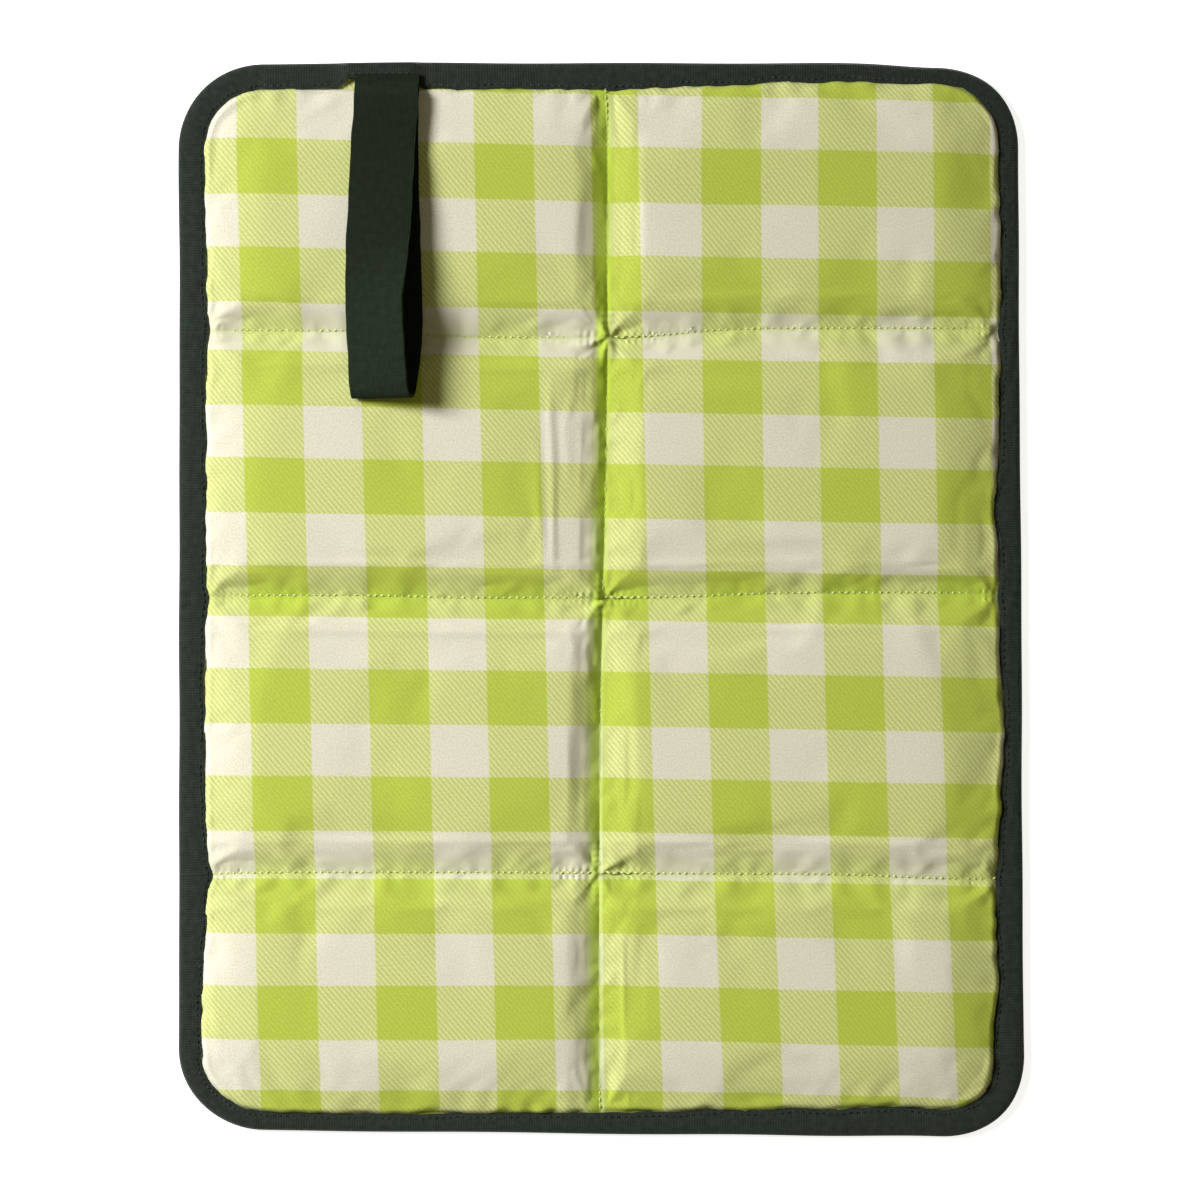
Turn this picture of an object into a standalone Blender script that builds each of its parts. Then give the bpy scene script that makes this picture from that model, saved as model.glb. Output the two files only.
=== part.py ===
"""Folding kneeling pad, lying open on its underside.

Eight foam cushions sit between a checked top cover and a plain underside cover.
Quilting seams divide the covers into two columns and four rows, a folded tape
binds the edge, and an elastic strap loop is sewn under the tape.

Metres, +Z up. The origin is at the middle of the pad, on the floor; +X runs
across the pad to the right column and +Y along it to the strap's end.
"""

import math

import bmesh
import bpy

MM = 0.001

# Driving dimensions of the whole pad.
PAD_WIDTH = 300 * MM
PAD_LENGTH = 380 * MM
PAD_HEIGHT = 8.0 * MM
CORNER_RADIUS = 30 * MM
ROW_SEAMS = (95 * MM, 0.0, -98 * MM)

# Materials' thicknesses.
COVER_THICKNESS = 0.5 * MM
TAPE_THICKNESS = 0.6 * MM
STRAP_THICKNESS = 1.2 * MM
THREAD_RADIUS = 0.25 * MM
CLEARANCE = 0.3 * MM

# The edge is a sandwich: tape, underside cover, top cover, tape.
TAPE_WIDTH = 9.0 * MM
UNDERSIDE_RIM = TAPE_THICKNESS + CLEARANCE
TOP_RIM = UNDERSIDE_RIM + 2 * COVER_THICKNESS + CLEARANCE
TAPE_TOP = TOP_RIM + CLEARANCE + TAPE_THICKNESS
TAPE_SIDE = 0.9 * MM
COVER_EDGE = TAPE_SIDE + CLEARANCE

# Over the strap's sewn end the tape is lifted, and shows less of its width.
TAPE_LIFT = STRAP_THICKNESS + CLEARANCE
TAPE_WIDTH_AT_STRAP = 5.7 * MM
TAPE_RAMP = 4.0 * MM

# Each ring is (inset from a quilting seam, inset from the pad's edge, height).
TOP_COVER_RINGS = (
    (0.0, COVER_EDGE, TOP_RIM),
    (0.8 * MM, 9.6 * MM, TOP_RIM),
    (2.2 * MM, 10.8 * MM, 3.9 * MM),
    (4.5 * MM, 14.5 * MM, 5.9 * MM),
    (8.0 * MM, 20.0 * MM, 7.0 * MM),
    (24.0 * MM, 30.0 * MM, PAD_HEIGHT),
)
UNDERSIDE_COVER_RINGS = (
    (0.0, COVER_EDGE, UNDERSIDE_RIM),
    (1.0 * MM, 9.8 * MM, UNDERSIDE_RIM),
    (4.0 * MM, 13.0 * MM, 0.0),
)
FOAM_RINGS = (
    (4.6 * MM, 13.6 * MM, COVER_THICKNESS + CLEARANCE),
    (2.6 * MM, 10.9 * MM, 2.2 * MM),
    (3.3 * MM, 12.2 * MM, 3.6 * MM),
    (5.6 * MM, 16.0 * MM, 5.0 * MM),
    (8.5 * MM, 21.0 * MM, 6.1 * MM),
    (22.0 * MM, 29.0 * MM, 6.9 * MM),
)

# Rounding of a panel's corners: the pad's own corner is wide, the others small.
SMALL_RADIUS = 0.4 * MM
SMALL_RADIUS_GROWTH = 0.6
PAD_CORNER_STEPS = 6
SMALL_CORNER_STEPS = 2

# Threads lie in the bottom of a seam, and along the tape near its inner edge.
SEAM_THREAD_INSET = 0.35 * MM
SEAM_THREAD_END = 9.5 * MM
TAPE_THREAD_INSET = 7.8 * MM
TAPE_THREAD_INSET_AT_STRAP = 4.7 * MM

# The strap is a loop of elastic, lying on the left column of the top two rows.
STRAP_LEFT = -89.5 * MM
STRAP_RIGHT = -67 * MM
STRAP_ROOT = 184.0 * MM
STRAP_FOLD_CENTRE = (75.5 * MM, 13.5 * MM)
STRAP_FOLD_RADIUS = 4.5 * MM
STRAP_FOLD_STEPS = 8
STRAP_LOWER_STRAND = (
    (STRAP_ROOT, 3.2 * MM),
    (182.4 * MM, 3.5 * MM),
    (180.2 * MM, 5.6 * MM),
    (177.8 * MM, 7.9 * MM),
    (174.0 * MM, 9.0 * MM),
    (125.0 * MM, 9.0 * MM),
)
STRAP_UPPER_STRAND = (
    (95.0 * MM, 17.6 * MM),
    (120.0 * MM, 16.0 * MM),
    (145.0 * MM, 13.6 * MM),
    (165.0 * MM, 11.4 * MM),
    (174.0 * MM, 10.6 * MM),
    (178.7 * MM, 9.4 * MM),
    (181.6 * MM, 6.6 * MM),
    (183.2 * MM, 5.0 * MM),
    (STRAP_ROOT, 4.7 * MM),
)

# Where the tape starts and stops rising over the strap, from the pad's middle outwards.
STRAP_TAPE_STATIONS = (
    STRAP_RIGHT + CLEARANCE + TAPE_RAMP,
    STRAP_RIGHT + CLEARANCE,
    STRAP_LEFT - CLEARANCE,
    STRAP_LEFT - CLEARANCE - TAPE_RAMP,
)

# The strap's end is sewn down under the lifted tape.
STRAP_END_LOW = 184.8 * MM
STRAP_END_HIGH = 189.0 * MM
STRAP_TACK_Y = 186.0 * MM

# (red, green, blue), roughness of each material.
MATERIALS = {
    "checked_cloth": ((0.50, 0.58, 0.09), 0.85),
    "underside_cloth": ((0.05, 0.09, 0.06), 0.6),
    "foam": ((0.86, 0.86, 0.84), 0.9),
    "edge_tape": ((0.025, 0.04, 0.03), 0.9),
    "strap_elastic": ((0.02, 0.03, 0.02), 0.9),
    "light_thread": ((0.6, 0.72, 0.2), 0.7),
    "dark_thread": ((0.02, 0.03, 0.02), 0.7),
}


class Panel:
    """One of the eight cushions: its column, and the row between two heights in Y."""

    def __init__(self, row, column):
        edges = (PAD_LENGTH / 2, *ROW_SEAMS, -PAD_LENGTH / 2)
        self.side = -1 if column == "left" else 1
        self.label = f"row{row}_{column}"
        self.high, self.low = edges[row - 1], edges[row]
        self.high_is_edge = row == 1
        self.low_is_edge = row == len(edges) - 1
        self.holds_strap = row == 1 and column == "left"

    def outline(self, seam_inset, edge_inset):
        """Points round the panel, moved in by one amount at seams and another at the pad's edge."""
        by_seam = CLEARANCE + seam_inset
        inner = by_seam
        outer = PAD_WIDTH / 2 - edge_inset
        low = self.low + (edge_inset if self.low_is_edge else by_seam)
        high = self.high - (edge_inset if self.high_is_edge else by_seam)
        small = (SMALL_RADIUS + SMALL_RADIUS_GROWTH * seam_inset, SMALL_CORNER_STEPS)
        wide = (CORNER_RADIUS - edge_inset, PAD_CORNER_STEPS)
        corners = (
            (inner, low, small, 180),
            (outer, low, wide if self.low_is_edge else small, 270),
            (outer, high, wide if self.high_is_edge else small, 0),
            (inner, high, small, 90),
        )
        points = []
        for x, y, (radius, steps), start in corners:
            centre_x = x + (radius if x == inner else -radius)
            centre_y = y + (radius if y == low else -radius)
            for step in range(steps + 1):
                angle = math.radians(start + 90 * step / steps)
                points.append(
                    (
                        self.side * (centre_x + radius * math.cos(angle)),
                        centre_y + radius * math.sin(angle),
                    )
                )
        return points

    def edge_stations(self):
        """(point on the pad's edge, direction inwards) along the part of the edge that this panel has."""
        outer = PAD_WIDTH / 2
        if not (self.high_is_edge or self.low_is_edge):
            ends = (self.low + CLEARANCE, self.high - CLEARANCE)
            return [((self.side * outer, y), (-self.side, 0)) for y in ends]
        up = 1 if self.high_is_edge else -1
        edge = self.high if self.high_is_edge else self.low
        seam = self.low if self.high_is_edge else self.high
        crossings = [self.side * CLEARANCE]
        if self.holds_strap:
            crossings += STRAP_TAPE_STATIONS
        stations = [((x, edge), (0, -up)) for x in crossings]
        for step in range(PAD_CORNER_STEPS + 1):
            angle = math.radians(90 - 90 * step / PAD_CORNER_STEPS)
            across, along = self.side * math.cos(angle), up * math.sin(angle)
            x = self.side * (outer - CORNER_RADIUS) + CORNER_RADIUS * across
            y = edge - up * CORNER_RADIUS + CORNER_RADIUS * along
            stations.append(((x, y), (-across, -along)))
        stations.append(((self.side * outer, seam + up * CLEARANCE), (-self.side, 0)))
        return stations


def clear_scene():
    for obj in list(bpy.data.objects):
        bpy.data.objects.remove(obj, do_unlink=True)


def make_collection(name):
    collection = bpy.data.collections.new(name)
    bpy.context.scene.collection.children.link(collection)
    return collection


def make_materials():
    for name, (colour, roughness) in MATERIALS.items():
        material = bpy.data.materials.new(name)
        material.use_nodes = True
        shader = material.node_tree.nodes["Principled BSDF"]
        shader.inputs["Base Color"].default_value = (*colour, 1.0)
        shader.inputs["Roughness"].default_value = roughness
        shader.inputs["Metallic"].default_value = 0.0
        material.diffuse_color = (*colour, 1.0)


def add_object(name, data, material, collection):
    obj = bpy.data.objects.new(name, data)
    data.materials.append(bpy.data.materials[material])
    collection.objects.link(obj)
    return obj


def mesh_from(bm, name):
    mesh = bpy.data.meshes.new(name)
    bm.to_mesh(mesh)
    bm.free()
    return mesh


def joined_rings(bm, rings):
    """Quads between rings of equally many points; returns the rings' vertices."""
    made = [[bm.verts.new(point) for point in ring] for ring in rings]
    for below, above in zip(made, made[1:]):
        for i in range(len(below)):
            following = (i + 1) % len(below)
            bm.faces.new((below[i], below[following], above[following], above[i]))
    return made


def panel_rings(panel, ring_table):
    rings = []
    for seam_inset, edge_inset, height in ring_table:
        flat = panel.outline(seam_inset, edge_inset)
        rings.append([(x, y, height) for x, y in flat])
    return rings


def add_cover(panel, name, ring_table, material, collection, thickens_up):
    """A sewn sheet over the panel: rings with a flat middle, thickened by Solidify."""
    bm = bmesh.new()
    made = joined_rings(bm, panel_rings(panel, ring_table))
    bm.faces.new(made[-1])
    bmesh.ops.recalc_face_normals(bm, faces=bm.faces)
    bm.faces.ensure_lookup_table()
    if bm.faces[-1].normal.z < 0:
        bmesh.ops.reverse_faces(bm, faces=bm.faces)
    obj = add_object(name, mesh_from(bm, name), material, collection)
    solidify = obj.modifiers.new("Solidify", "SOLIDIFY")
    solidify.thickness = COVER_THICKNESS
    solidify.offset = 1.0 if thickens_up else -1.0
    solidify.use_even_offset = True


def add_foam(panel, collection):
    """The cushion's foam block, with rounded upper and lower edges."""
    bm = bmesh.new()
    made = joined_rings(bm, panel_rings(panel, FOAM_RINGS))
    bm.faces.new(made[0])
    bm.faces.new(made[-1])
    bmesh.ops.recalc_face_normals(bm, faces=bm.faces)
    name = f"foam_pad_{panel.label}"
    add_object(name, mesh_from(bm, name), "foam", collection)


def tape_section(over_strap):
    """Half-folded tape round the covers' edge, as (inset, height) points."""
    top = TAPE_TOP + (TAPE_LIFT if over_strap else 0.0)
    width = TAPE_WIDTH_AT_STRAP if over_strap else TAPE_WIDTH
    return (
        (TAPE_WIDTH, 0.0),
        (TAPE_SIDE, 0.0),
        (0.0, TAPE_SIDE),
        (0.0, top - TAPE_SIDE),
        (TAPE_SIDE, top),
        (width, top),
        (width, top - TAPE_THICKNESS),
        (TAPE_SIDE, top - TAPE_THICKNESS),
        (TAPE_SIDE, TAPE_THICKNESS),
        (TAPE_WIDTH, TAPE_THICKNESS),
    )


def is_over_strap(panel, x):
    near = STRAP_TAPE_STATIONS[1] + TAPE_RAMP / 2
    far = STRAP_TAPE_STATIONS[2] - TAPE_RAMP / 2
    return panel.holds_strap and far < x < near


def add_tape(panel, collection):
    """The part of the edge tape on this panel: its section carried along the edge."""
    bm = bmesh.new()
    sections = []
    for (x, y), (inward_x, inward_y) in panel.edge_stations():
        section = tape_section(is_over_strap(panel, x) and y == panel.high)
        sections.append(
            [
                (x + inset * inward_x, y + inset * inward_y, height)
                for inset, height in section
            ]
        )
    made = joined_rings(bm, sections)
    bm.faces.new(made[0])
    bm.faces.new(made[-1])
    bmesh.ops.recalc_face_normals(bm, faces=bm.faces)
    name = f"edge_tape_{panel.label}"
    add_object(name, mesh_from(bm, name), "edge_tape", collection)


def add_thread(name, points, material, collection):
    """A sewing thread as a thin round tube through the points."""
    curve = bpy.data.curves.new(name, "CURVE")
    curve.dimensions = "3D"
    curve.bevel_depth = THREAD_RADIUS
    curve.bevel_resolution = 1
    curve.use_fill_caps = True
    spline = curve.splines.new("POLY")
    spline.points.add(len(points) - 1)
    for point, place in zip(spline.points, points):
        point.co = (*place, 1.0)
    add_object(name, curve, material, collection)


def add_tape_thread(panel, collection):
    """The thread that sews the tape down, clear of the tape by one gap."""
    points = []
    for (x, y), (inward_x, inward_y) in panel.edge_stations():
        over_strap = is_over_strap(panel, x) and y == panel.high
        inset = TAPE_THREAD_INSET_AT_STRAP if over_strap else TAPE_THREAD_INSET
        height = TAPE_TOP + (TAPE_LIFT if over_strap else 0.0) + CLEARANCE + THREAD_RADIUS
        points.append((x + inset * inward_x, y + inset * inward_y, height))
    add_thread(f"tape_stitching_{panel.label}", points, "dark_thread", collection)


def add_centre_seam_thread(panel, collection):
    """The thread down the seam between the columns, on a left panel."""
    x = panel.side * (CLEARANCE + SEAM_THREAD_INSET)
    height = TOP_RIM + CLEARANCE + THREAD_RADIUS
    low = panel.low + (SEAM_THREAD_END if panel.low_is_edge else CLEARANCE)
    high = panel.high - (SEAM_THREAD_END if panel.high_is_edge else 2 * CLEARANCE + 2 * SEAM_THREAD_INSET)
    points = [(x, low, height), (x, high, height)]
    add_thread(f"centre_seam_stitching_{panel.label}", points, "light_thread", collection)


def add_row_seam_thread(panel, collection):
    """The thread along the seam below a panel."""
    y = panel.low + CLEARANCE + SEAM_THREAD_INSET
    height = TOP_RIM + CLEARANCE + THREAD_RADIUS
    inner = 3 * CLEARANCE + 2 * SEAM_THREAD_INSET
    outer = PAD_WIDTH / 2 - SEAM_THREAD_END
    points = [(panel.side * inner, y, height), (panel.side * outer, y, height)]
    add_thread(f"row_seam_stitching_{panel.label}", points, "light_thread", collection)


def strap_line():
    """The strap's middle line in Y and Z, from its root round the fold and back."""
    centre_y, centre_z = STRAP_FOLD_CENTRE
    fold = []
    for step in range(STRAP_FOLD_STEPS + 1):
        angle = math.radians(-90 - 180 * step / STRAP_FOLD_STEPS)
        fold.append(
            (
                centre_y + STRAP_FOLD_RADIUS * math.cos(angle),
                centre_z + STRAP_FOLD_RADIUS * math.sin(angle),
            )
        )
    return [*STRAP_LOWER_STRAND, *fold, *STRAP_UPPER_STRAND]


def add_strap(collection):
    """The elastic strap: a ribbon along its line, thickened by Solidify."""
    bm = bmesh.new()
    rows = [
        [bm.verts.new((x, y, z)) for x in (STRAP_LEFT, STRAP_RIGHT)]
        for y, z in strap_line()
    ]
    for near, far in zip(rows, rows[1:]):
        bm.faces.new((near[0], near[1], far[1], far[0]))
    name = "strap_loop"
    obj = add_object(name, mesh_from(bm, name), "strap_elastic", collection)
    solidify = obj.modifiers.new("Solidify", "SOLIDIFY")
    solidify.thickness = STRAP_THICKNESS
    solidify.offset = 0.0
    solidify.use_even_offset = True


def add_strap_end(collection):
    """The strap's sewn end, flat on the top cover's rim under the lifted tape."""
    low = (STRAP_LEFT, STRAP_END_LOW, TOP_RIM + CLEARANCE)
    high = (STRAP_RIGHT, STRAP_END_HIGH, TOP_RIM + CLEARANCE + STRAP_THICKNESS - 0.3 * MM)
    bm = bmesh.new()
    bmesh.ops.create_cube(bm, size=1.0)
    for vertex in bm.verts:
        for axis in range(3):
            vertex.co[axis] = high[axis] if vertex.co[axis] > 0 else low[axis]
    name = "strap_sewn_end"
    obj = add_object(name, mesh_from(bm, name), "strap_elastic", collection)
    bevel = obj.modifiers.new("Bevel", "BEVEL")
    bevel.width = 0.2 * MM
    bevel.segments = 1


def main():
    clear_scene()
    make_materials()
    pad = make_collection("kneeling_pad")
    for row in range(1, len(ROW_SEAMS) + 2):
        for column in ("left", "right"):
            panel = Panel(row, column)
            add_cover(
                panel,
                f"top_cover_{panel.label}",
                TOP_COVER_RINGS,
                "checked_cloth",
                pad,
                thickens_up=False,
            )
            add_cover(
                panel,
                f"underside_cover_{panel.label}",
                UNDERSIDE_COVER_RINGS,
                "underside_cloth",
                pad,
                thickens_up=True,
            )
            add_foam(panel, pad)
            add_tape(panel, pad)
            add_tape_thread(panel, pad)
            if column == "left":
                add_centre_seam_thread(panel, pad)
            if not panel.low_is_edge:
                add_row_seam_thread(panel, pad)
    add_strap(pad)
    add_strap_end(pad)


main()
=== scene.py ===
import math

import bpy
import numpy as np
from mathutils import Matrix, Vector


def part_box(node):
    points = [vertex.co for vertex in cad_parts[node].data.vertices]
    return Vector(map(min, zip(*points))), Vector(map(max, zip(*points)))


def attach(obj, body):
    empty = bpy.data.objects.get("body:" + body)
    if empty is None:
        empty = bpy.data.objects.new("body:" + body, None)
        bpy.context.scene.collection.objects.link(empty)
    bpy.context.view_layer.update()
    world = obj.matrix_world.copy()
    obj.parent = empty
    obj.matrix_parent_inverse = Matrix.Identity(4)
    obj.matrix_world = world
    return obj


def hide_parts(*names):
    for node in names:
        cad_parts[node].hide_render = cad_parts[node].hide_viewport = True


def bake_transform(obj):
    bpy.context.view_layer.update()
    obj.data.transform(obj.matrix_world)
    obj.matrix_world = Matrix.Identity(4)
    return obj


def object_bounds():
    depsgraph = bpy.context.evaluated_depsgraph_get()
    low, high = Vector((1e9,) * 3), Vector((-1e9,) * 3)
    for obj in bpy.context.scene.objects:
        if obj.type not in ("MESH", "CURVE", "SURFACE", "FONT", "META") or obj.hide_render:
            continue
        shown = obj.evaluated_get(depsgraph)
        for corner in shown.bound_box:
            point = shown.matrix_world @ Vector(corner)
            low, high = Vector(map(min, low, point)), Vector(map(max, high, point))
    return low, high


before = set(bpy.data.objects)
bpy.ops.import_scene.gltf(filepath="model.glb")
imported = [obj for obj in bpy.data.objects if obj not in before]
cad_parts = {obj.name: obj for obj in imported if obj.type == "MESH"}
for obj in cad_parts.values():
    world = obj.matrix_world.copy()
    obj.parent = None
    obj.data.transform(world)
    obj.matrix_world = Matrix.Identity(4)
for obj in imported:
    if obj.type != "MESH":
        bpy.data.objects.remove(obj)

# Looks of the folding kneeling pad, built round its imported CAD frame.
#
# Metres, +Z up, +Y towards the strap's end. The covers are quilted cloth over eight
# foam cushions. Each row's cover is one cloth that runs across the centre fold.

CAD_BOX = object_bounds()
MM = 0.001
ROWS = (1, 2, 3, 4)

# Plan of the pad, read from the frame.
HALF_WIDTH = CAD_BOX[1][0]
HALF_LENGTH = CAD_BOX[1][1]
CORNER_RADIUS = 30 * MM
SEAMS = [
    (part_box(f"top_cover_row{k}_left")[0].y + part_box(f"top_cover_row{k + 1}_left")[1].y) / 2
    for k in (1, 2, 3)
]
ROW_EDGES = [HALF_LENGTH, *SEAMS, -HALF_LENGTH]

# Heights of the layers.
SEAM_HEIGHT = 2.2 * MM
CROWN_HEIGHT = 8.0 * MM
COVER_CEILING = 8.12 * MM  # two rows folded face to face meet just above this
CEILING_EASING = 0.1 * MM
SEAM_FLOOR = 2.0 * MM
COVER_THICKNESS = 0.4 * MM
UNDERSIDE_RIM = 0.9 * MM
FOAM_FLOOR = 0.8 * MM

# The edge tape.
TAPE_WIDTH = 9.0 * MM
TAPE_THICKNESS = 0.6 * MM
TAPE_TOP = 3.1 * MM
COVER_INSET = 1.2 * MM
TAPE_LIFT_AT_STRAP = 1.5 * MM
TAPE_SHORTER_AT_STRAP = 3.3 * MM

# The strap, in Y and Z along its middle line.
STRAP_X = (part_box("strap_loop")[0].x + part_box("strap_loop")[1].x) / 2
STRAP_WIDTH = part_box("strap_loop")[1].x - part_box("strap_loop")[0].x
STRAP_THICKNESS = 1.2 * MM
STRAP_STEP = 1.6 * MM
STRAP_LINES = 17
STRAP_END_Y = 186 * MM

# Stitches, and the threads' places in the seams.
STITCH_PITCH = 2.4 * MM
SEAM_THREAD_HEIGHT = SEAM_HEIGHT + 0.9 * MM
SEAM_THREAD_SHIFT = 0.35 * MM
SEAM_THREAD_SINK = 0.32 * MM
SEAM_ZIGZAG = 0.4 * MM
TAPE_SEAM_INSET = 1.5 * MM

# Average spacing of the covers' vertices; they crowd together towards the seams.
GRID_STEP = 1.15 * MM
CROWDING = 0.55
UNDERSIDE_STEP = 2.6 * MM
FOAM_STEP = 3.5 * MM
ROW_TOLERANCE = 0.01 * MM

# How far short of the centre fold the seam strips end.
BLEND_HALF_WIDTH = 6.3 * MM

# The cloth simulation that settles the cover: its frames, spacing and furthest move.
SIM_FRAMES = 14
SETTLING_STEP = 2.0 * MM
SETTLING_CROWDING = 0.3
SETTLING_CAP = 0.8 * MM
GATHERED_REACH = 11 * MM
CLOTH_SETTINGS = {
    "quality": 4, "mass": 0.02, "tension_stiffness": 30, "compression_stiffness": 30,
    "shear_stiffness": 8, "bending_stiffness": 0.08, "air_damping": 4,
    "vertex_group_mass": "pinned", "vertex_group_shrink": "gathered",
    "shrink_min": -0.003, "shrink_max": -0.03,
    "use_pressure": True, "uniform_pressure_force": 0.25,
}

# Strips of cloth and tape inside the left column's row seams.
BRIDGE_REACH = 2.6 * MM
BRIDGE_THICKNESS = 0.25 * MM
BRIDGE_TOP = 1.8 * MM
BRIDGE_RISE = 0.8 * MM  # how much higher the top strip lies away from the tape
BRIDGE_UNDER = 1.35 * MM
BRIDGE_TAPE = 1.5 * MM
BRIDGE_ROWS, BRIDGE_COLUMNS = 25, 60


# ------------------------------ mesh helpers


def add_object(name, data):
    obj = bpy.data.objects.new(name, data)
    bpy.context.scene.collection.objects.link(obj)
    return obj


def mesh_object(name, vertices, faces, material, sharp_angle=None):
    mesh = bpy.data.meshes.new(name)
    vertices = np.reshape(vertices, (-1, 3))
    mesh.from_pydata([tuple(v) for v in vertices], [], [tuple(f) for f in faces])
    mesh.update()
    obj = add_object(name, mesh)
    mesh.materials.append(material)
    for polygon in mesh.polygons:
        polygon.use_smooth = True
    if sharp_angle:
        mesh.set_sharp_from_angle(angle=math.radians(sharp_angle))
    return obj


def grid_faces(rows, columns, closed=False):
    """Quads of a grid of vertices stored row by row; closed joins the last column to the first."""
    index = np.arange(rows * columns).reshape(rows, columns)
    right = np.roll(index, -1, axis=1)
    if not closed:
        index, right = index[:, :-1], right[:, :-1]
    a, b = index[:-1], right[:-1]
    c, d = right[1:], index[1:]
    return np.stack([a, b, c, d], axis=-1).reshape(-1, 4)


def add_attribute(obj, name, values):
    """Stores a vector for each vertex, for the materials to read."""
    attribute = obj.data.attributes.new(name, "FLOAT_VECTOR", "POINT")
    attribute.data.foreach_set("vector", np.asarray(values, np.float32).ravel())


def apply_modifiers(obj):
    """Replaces the object's mesh by what its modifiers make of it."""
    bpy.context.view_layer.update()
    depsgraph = bpy.context.evaluated_depsgraph_get()
    mesh = bpy.data.meshes.new_from_object(
        obj.evaluated_get(depsgraph), preserve_all_data_layers=True, depsgraph=depsgraph
    )
    obj.modifiers.clear()
    obj.data = mesh


def thicken(obj, thickness, offset=-1.0):
    solidify = obj.modifiers.new("Thickness", "SOLIDIFY")
    solidify.thickness = thickness
    solidify.offset = offset
    apply_modifiers(obj)
    obj.data.set_sharp_from_angle(angle=math.radians(50))


def smoothstep(t):
    t = np.clip(t, 0.0, 1.0)
    return t * t * (3 - 2 * t)


def soft_noise(x, y, seed, wavelength, waves=9):
    """Smooth seeded ripples of about one wavelength, from -1 to 1."""
    random = np.random.RandomState(seed)
    total = 0.0
    for _ in range(waves):
        angle = random.uniform(0, math.pi)
        k = 2 * math.pi / (wavelength * random.uniform(0.7, 1.5))
        phase = random.uniform(0, 2 * math.pi)
        total += np.sin(k * (x * math.cos(angle) + y * math.sin(angle)) + phase)
    return total / math.sqrt(waves) / 1.6


# ------------------------------ pad's shape


def edge_distance(x, y):
    """Distance inwards from the pad's rounded outline."""
    dx = np.abs(x) - (HALF_WIDTH - CORNER_RADIUS)
    dy = np.abs(y) - (HALF_LENGTH - CORNER_RADIUS)
    outside = np.hypot(np.maximum(dx, 0), np.maximum(dy, 0))
    inside = np.minimum(np.maximum(dx, dy), 0)
    return CORNER_RADIUS - (outside + inside)


def round_corners(x, y):
    """Moves points of a plain rectangle's corners onto the rounded outline."""
    reach_x = HALF_WIDTH - CORNER_RADIUS
    reach_y = HALF_LENGTH - CORNER_RADIUS
    dx = np.maximum(np.abs(x) - reach_x, 0)
    dy = np.maximum(np.abs(y) - reach_y, 0)
    length = np.hypot(dx, dy)
    scale = np.where(length > 0, np.maximum(dx, dy) / np.maximum(length, 1e-9), 1.0)
    new_x = np.sign(x) * (np.abs(x) - dx + dx * scale)
    new_y = np.sign(y) * (np.abs(y) - dy + dy * scale)
    return new_x, new_y


# How each seam across the pad bends: (X of the bend's middle, reach, shift along Y), in mm.
SEAM_BENDS = (
    ((-18, 48, -2.4), (95, 60, 0.9)),
    ((-110, 55, 1.4), (0, 50, 0.6), (100, 62, 2.4)),
    ((-70, 75, 1.2), (45, 55, 0.8), (130, 28, -0.8)),
)


def seam_bend(x, y):
    """How far the seams across the pad, and the cloth beside them, are off their straight lines."""
    total = np.zeros_like(x)
    for seam, bends in zip(SEAMS, SEAM_BENDS):
        for middle, reach, shift in bends:
            beside = np.exp(-(((y - seam) / (20 * MM)) ** 2))
            total = total + shift * MM * beside * np.exp(-(((x - middle * MM) / (reach * MM)) ** 4))
    return total * shoulder(HALF_WIDTH - np.abs(x), 25 * MM)


def centre_lean(x, y):
    """How far the centre seam, and the cloth beside it, leans off its straight line."""
    lean = 0.5 + 1.5 * np.tanh((y - 10 * MM) / (55 * MM))
    ends = shoulder(HALF_LENGTH - np.abs(y), 25 * MM)
    return lean * MM * np.exp(-((x / (28 * MM)) ** 4)) * ends


def real_outline(points):
    """The sewn pad isn't a true rectangle: moves points in plan to its slightly skewed outline."""
    x, y = points[..., 0], points[..., 1]
    right = np.maximum(x, 0) / HALF_WIDTH
    down = (HALF_LENGTH - y) / (2 * HALF_LENGTH)
    top = np.maximum(y, 0) / HALF_LENGTH
    bottom = np.maximum(-y, 0) / HALF_LENGTH
    near = lambda at_x, at_y, reach: np.exp(
        -(((x - at_x) / reach) ** 2) - ((y - at_y) / (0.6 * reach)) ** 2
    )
    dx = -(2.3 - 2.1 * down) * MM * right**2
    dy = 0.6 * MM * top**3 + (0.8 - 1.4 * x / HALF_WIDTH) * MM * bottom**3
    dy = dy - 1.9 * MM * near(122 * MM, 190 * MM, 22 * MM)
    dy = dy - 0.7 * MM * near(-125 * MM, 190 * MM, 22 * MM)
    corner = near(140 * MM, -180 * MM, 24 * MM)
    dx, dy = dx + 0.8 * MM * corner, dy - 0.8 * MM * corner
    wobble = np.maximum(np.abs(x) / HALF_WIDTH, np.abs(y) / HALF_LENGTH) ** 4
    dx = dx + 0.3 * MM * soft_noise(x, y, 61, 60 * MM) * wobble
    dy = dy + 0.3 * MM * soft_noise(x, y, 62, 60 * MM) * wobble
    moved = points.copy()
    moved[..., 0] += dx + centre_lean(x, y)
    moved[..., 1] += dy + seam_bend(x, y)
    return moved


def shoulder(distance, width, power=2.3):
    """Rise from 0 at a seam to 1 on the cushion's top, steep at first."""
    s = np.clip(distance / width, 0.0, 1.0)
    return 1 - (1 - s) ** power


def seam_distances(x, y):
    across = np.abs(x)
    along = np.min([np.abs(y - seam) for seam in SEAMS], axis=0)
    return across, along


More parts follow.
